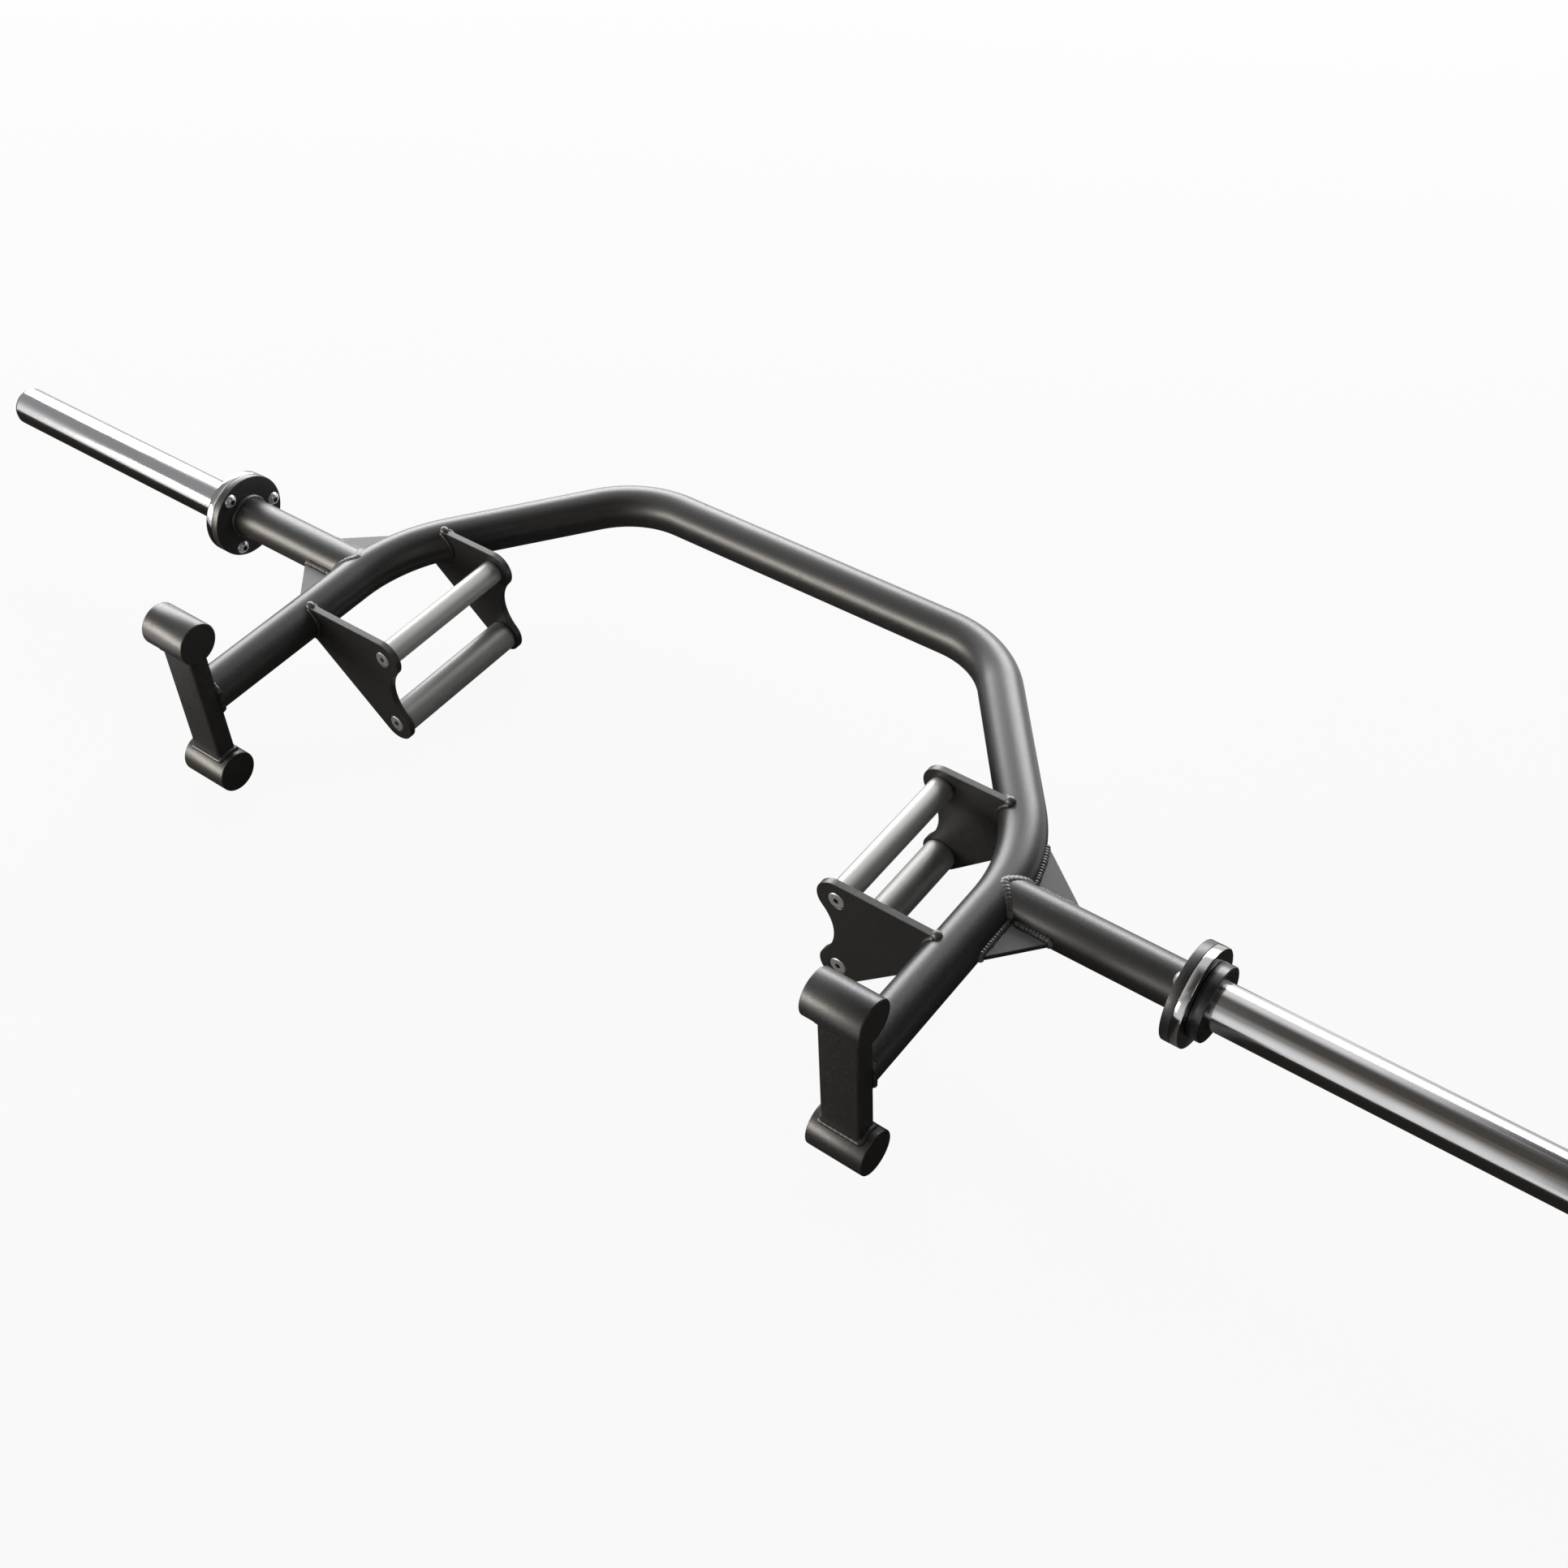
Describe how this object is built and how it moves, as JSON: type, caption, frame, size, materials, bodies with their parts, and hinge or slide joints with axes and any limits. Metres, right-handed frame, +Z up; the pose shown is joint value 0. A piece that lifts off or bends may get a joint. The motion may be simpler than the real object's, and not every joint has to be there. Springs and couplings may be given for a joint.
{
  "type": "open trap bar",
  "caption": "Open-sided trap bar: bent tube frame with paired high and low grips, foot posts that stand it off the floor, and turning chrome sleeves for weight plates",
  "frame": {"origin": "On the floor under the middle of the bar's box, between the two sleeves; the sleeve axis is 125 mm up and 16.7 mm in front of it", "axes": "+X along the sleeves to the right sleeve, +Y to the closed back of the frame, +Z up; the lifter stands inside facing +Y or -Y"},
  "size_m": [2.1946, 0.6175, 0.25],
  "materials": {
    "frame_coat": "satin black powder coat with a fine speckle",
    "collar_coat": "smooth satin black coat",
    "sleeve_chrome": "polished hard chrome",
    "spindle_steel": "ground steel, hidden inside the sleeve",
    "button_screw_steel": "bright plated button heads",
    "countersunk_screw_zinc": "zinc plated",
    "grip_steel": "knurled and satin plated",
    "bush_bronze": "sintered bronze, hidden",
    "spring_steel": "dark spring steel, hidden",
    "cap_plastic": "moulded black"
  },
  "bodies": {
    "frame": {"frame_tube": "frame_coat", "left_arm_tube": "frame_coat", "right_arm_tube": "frame_coat", "left_arm_flange": "frame_coat", "right_arm_flange": "frame_coat", "left_gussets": "frame_coat", "right_gussets": "frame_coat", "left_front_handle_plate": "frame_coat", "right_front_handle_plate": "frame_coat", "left_rear_handle_plate": "frame_coat", "right_rear_handle_plate": "frame_coat", "left_upper_grip": "grip_steel", "right_upper_grip": "grip_steel", "left_lower_grip": "grip_steel", "right_lower_grip": "grip_steel", "left_lower_grip_plugs": "grip_steel", "right_lower_grip_plugs": "grip_steel", "left_grip_screws": "countersunk_screw_zinc", "right_grip_screws": "countersunk_screw_zinc", "left_foot_post": "frame_coat", "right_foot_post": "frame_coat", "left_upper_foot_tube": "frame_coat", "right_upper_foot_tube": "frame_coat", "left_lower_foot_tube": "frame_coat", "right_lower_foot_tube": "frame_coat", "left_foot_end_discs": "frame_coat", "right_foot_end_discs": "frame_coat", "left_spindle": "spindle_steel", "right_spindle": "spindle_steel", "left_spindle_flange": "sleeve_chrome", "right_spindle_flange": "sleeve_chrome", "left_flange_screws": "button_screw_steel", "right_flange_screws": "button_screw_steel", "left_inner_thrust_washer": "bush_bronze", "right_inner_thrust_washer": "bush_bronze", "left_outer_thrust_washer": "bush_bronze", "right_outer_thrust_washer": "bush_bronze", "left_retaining_ring": "spring_steel", "right_retaining_ring": "spring_steel"},
    "left_turning_sleeve": {"left_sleeve": "sleeve_chrome", "left_collar_ring": "collar_coat", "left_inner_bush": "bush_bronze", "left_outer_bush": "bush_bronze", "left_end_cap": "cap_plastic"},
    "right_turning_sleeve": {"right_sleeve": "sleeve_chrome", "right_collar_ring": "collar_coat", "right_inner_bush": "bush_bronze", "right_outer_bush": "bush_bronze", "right_end_cap": "cap_plastic"}
  },
  "joints": [
    {"name": "left_sleeve_spin", "type": "hinge", "parent": "frame", "child": "left_turning_sleeve", "pos_m": [-0.8898, -0.0167, 0.125], "axis": [-1, 0, 0], "continuous": true},
    {"name": "right_sleeve_spin", "type": "hinge", "parent": "frame", "child": "right_turning_sleeve", "pos_m": [0.8898, -0.0167, 0.125], "axis": [1, 0, 0], "continuous": true}
  ]
}
